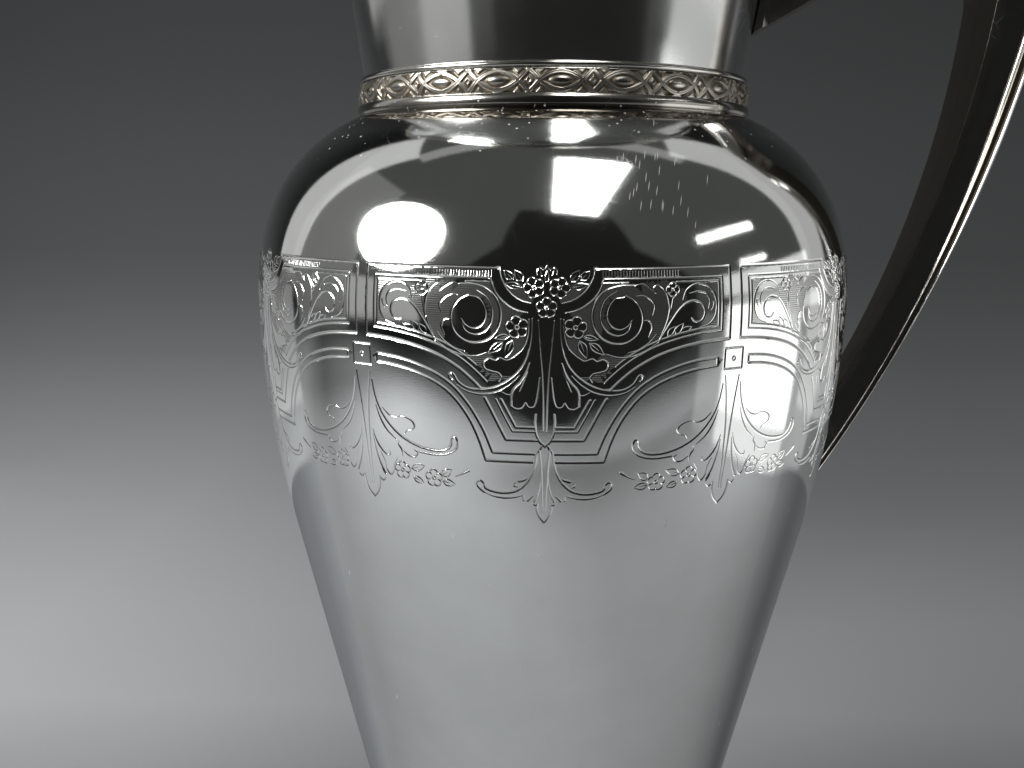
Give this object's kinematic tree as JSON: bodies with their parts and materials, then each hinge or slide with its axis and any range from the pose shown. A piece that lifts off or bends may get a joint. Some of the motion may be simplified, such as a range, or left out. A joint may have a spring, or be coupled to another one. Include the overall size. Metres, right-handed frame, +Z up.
{
  "type": "ewer",
  "caption": "Tall polished silver ewer with an inverted pear body, flared lipped neck, banded guilloche collar, engraved strapwork frieze, strap handle and spreading foot.",
  "frame": {"origin": "centre of the foot, on the surface the ewer stands on", "axes": "+Z up the axis of the body, +X from the axis to the handle, -X to the pouring lip, -Y to the front of the picture"},
  "size_m": [0.1827, 0.14, 0.343],
  "materials": {
    "silver_body": "polished",
    "silver_mounts": "polished",
    "silver_handle": "polished"
  },
  "bodies": {
    "root": {"body_shell": "silver_body", "neck_shell": "silver_body", "rim_wire": "silver_mounts", "collar_lower_wire": "silver_mounts", "collar_strip": "silver_mounts", "collar_upper_wire": "silver_mounts", "handle_front_half": "silver_handle", "handle_rear_half": "silver_handle", "stem_ring": "silver_mounts", "foot_shell": "silver_body", "foot_rim": "silver_mounts"}
  },
  "joints": []
}
